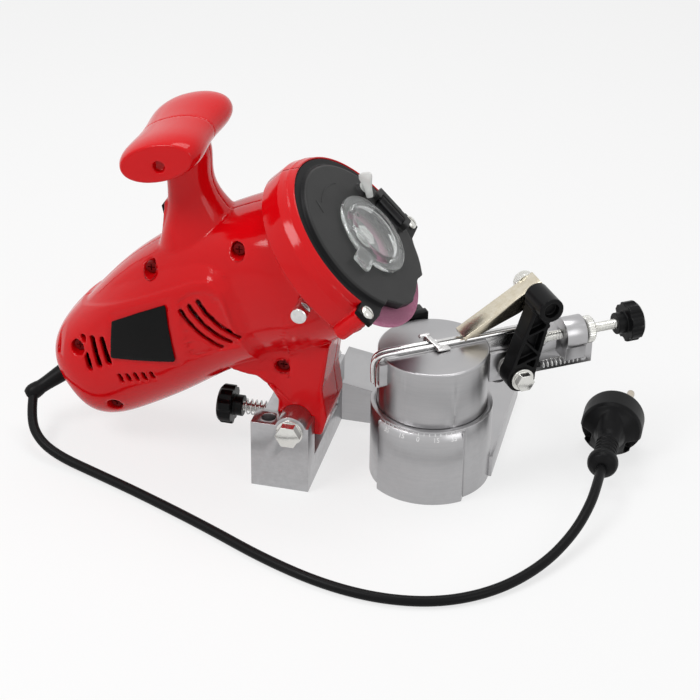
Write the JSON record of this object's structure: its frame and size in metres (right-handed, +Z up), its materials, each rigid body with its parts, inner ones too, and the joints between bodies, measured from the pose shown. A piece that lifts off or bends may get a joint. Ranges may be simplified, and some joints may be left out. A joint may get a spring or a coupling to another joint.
{
  "type": "bench chain grinder",
  "caption": "Corded bench grinder for saw chains: tilting motor head with guarded wheel and clear window over a swivelling chain vise.",
  "frame": {"origin": "where the vise's swivel axis meets the bench face", "axes": "+X from the head's pivot towards the vise, +Y away from the operator, +Z up from the bench"},
  "size_m": [0.3724, 0.2402, 0.2154],
  "materials": {
    "red_shell": "glossy moulded red",
    "black_moulding": "satin black moulding",
    "black_rubber": "dull black rubber",
    "clear_window": "clear moulded window",
    "abrasive": "rough pink abrasive",
    "cast_alloy": "grey painted casting",
    "steel": "plain steel",
    "plated": "bright zinc plating",
    "copper": "enamelled copper winding",
    "carbon": "carbon brush",
    "label": "bare dark plate"
  },
  "bodies": {
    "base": {"base_casting": "cast_alloy", "pivot_bolt": "plated", "pivot_nut": "plated", "swivel_bolt": "plated", "mains_cord": "black_rubber", "plug_body": "black_moulding", "plug_pin_1": "plated", "plug_pin_2": "plated"},
    "head": {"housing_front": "red_shell", "housing_rear": "red_shell", "housing_screw_1": "plated", "housing_screw_2": "plated", "housing_screw_3": "plated", "housing_screw_4": "plated", "housing_screw_5": "plated", "switch_case": "black_moulding", "rating_plate": "label", "guard_cover": "black_moulding", "guard_screw_1": "plated", "guard_screw_2": "plated", "window_hinge_pin": "steel", "front_bearing": "steel", "rear_bearing": "steel", "stator_core": "steel", "field_coils": "copper", "brush_1": "carbon", "brush_2": "carbon", "pivot_bush": "steel", "return_spring": "steel", "cord_sleeve": "black_rubber"},
    "rotor": {"spindle": "steel", "grinding_wheel": "abrasive", "inner_flange": "steel", "outer_flange": "steel", "wheel_nut": "steel", "rotor_core": "steel", "cooling_fan": "black_moulding", "commutator": "copper"},
    "window": {"guard_window": "clear_window"},
    "flag": {"window_flag_screw": "black_moulding"},
    "lock": {"lock_pin": "steel"},
    "rocker": {"switch_rocker": "black_moulding"},
    "depth_rod": {"depth_screw": "plated", "depth_spring": "plated"},
    "depth_grip": {"depth_knob": "black_moulding"},
    "table": {"turntable": "cast_alloy", "rear_jaw": "steel", "stop_bolt": "plated", "stop_washer": "plated", "stop_spring": "plated"},
    "clamp": {"front_jaw": "steel", "clamp_yoke": "steel"},
    "lever": {"clamp_lever": "black_moulding"},
    "stop": {"stop_arm": "black_moulding", "pawl_bolt": "plated", "pawl_nut": "plated"},
    "pawl": {"stop_pawl": "plated"},
    "adjust_rod": {"adjusting_screw": "plated"},
    "adjust_grip": {"adjusting_knob": "black_moulding"},
    "jam_nut": {"lock_nut": "plated"}
  },
  "joints": [
    {"name": "head_swing", "type": "hinge", "parent": "base", "child": "head", "pos_m": [-0.075, 0, 0.041], "axis": [0, 1, 0], "range_deg": [0, 13], "stiffness_Nm_per_rad": 0.6, "springref_deg": -34.38, "deforming": ["return_spring"]},
    {"name": "wheel_spin", "type": "hinge", "parent": "head", "child": "rotor", "pos_m": [-0.05, 0, 0.145], "axis": [0.7193, 0, 0.6947], "continuous": true},
    {"name": "window_hinge", "type": "hinge", "parent": "head", "child": "window", "pos_m": [-0.04015, 0.0385, 0.15452], "axis": [-0.6947, 0, 0.7193], "range_deg": [0, 105]},
    {"name": "flag_turn", "type": "hinge", "parent": "head", "child": "flag", "pos_m": [-0.0507, 0.033, 0.16587], "axis": [0.7193, 0, 0.6947], "range_deg": [-90, 90]},
    {"name": "lock_push", "type": "slide", "parent": "head", "child": "lock", "axis": [0, 1, 0], "range_m": [0, 0.0045], "stiffness_N_per_m": 300, "springref_m": -0.004},
    {"name": "rocker_tip", "type": "hinge", "parent": "head", "child": "rocker", "pos_m": [-0.1587, 0, 0.14897], "axis": [0, 1, 0], "range_deg": [0, 14]},
    {"name": "depth_turn", "type": "hinge", "parent": "depth_rod", "child": "depth_grip", "pos_m": [-0.124, 0, 0.025], "axis": [1, 0, 0], "range_deg": [-720, 720]},
    {"name": "depth_slide", "type": "slide", "parent": "base", "child": "depth_rod", "axis": [1, 0, 0], "range_m": [-0.00201, 0.00201], "deforming": ["depth_spring"]},
    {"name": "vise_swivel", "type": "hinge", "parent": "base", "child": "table", "pos_m": [0, 0, 0.047], "axis": [0, 0, 1], "range_deg": [-70, 0]},
    {"name": "lever_turn", "type": "hinge", "parent": "clamp", "child": "lever", "pos_m": [-0.02331, 0.03678, 0.082], "axis": [-0.8192, -0.5736, 0], "range_deg": [0, 80.2]},
    {"name": "clamp_slide", "type": "slide", "parent": "table", "child": "clamp", "axis": [-0.5736, 0.8192, 0], "range_m": [0, 0.001]},
    {"name": "adjust_turn", "type": "hinge", "parent": "adjust_rod", "child": "adjust_grip", "pos_m": [0.10792, 0.06031, 0.085], "axis": [0.8192, 0.5736, 0], "range_deg": [0, 1441]},
    {"name": "adjust_slide", "type": "slide", "parent": "table", "child": "adjust_rod", "axis": [0.8192, 0.5736, 0], "range_m": [0, 0.004]},
    {"name": "stop_tilt", "type": "hinge", "parent": "table", "child": "stop", "pos_m": [0.04758, 0.01574, 0.065], "axis": [-0.5736, 0.8192, 0], "range_deg": [0, 9.5], "deforming": ["stop_spring"]},
    {"name": "pawl_lift", "type": "hinge", "parent": "stop", "child": "pawl", "pos_m": [0.04997, 0.03499, 0.112], "axis": [-0.5736, 0.8192, 0], "range_deg": [0, 60]},
    {"name": "jam_nut_turn", "type": "hinge", "parent": "adjust_rod", "child": "jam_nut", "pos_m": [0.08376, 0.04339, 0.085], "axis": [0.8192, 0.5736, 0], "range_deg": [-180, 180]}
  ],
  "couplings": [
    {"joint": "depth_slide", "follows": "depth_turn", "m_per_rad": 0.00015915},
    {"joint": "lever_turn", "follows": "clamp_slide", "rad_per_m": 1396.3},
    {"joint": "adjust_turn", "follows": "adjust_slide", "rad_per_m": 6283.2},
    {"joint": "stop_tilt", "follows": "adjust_slide", "rad_per_m": 40.841}
  ]
}
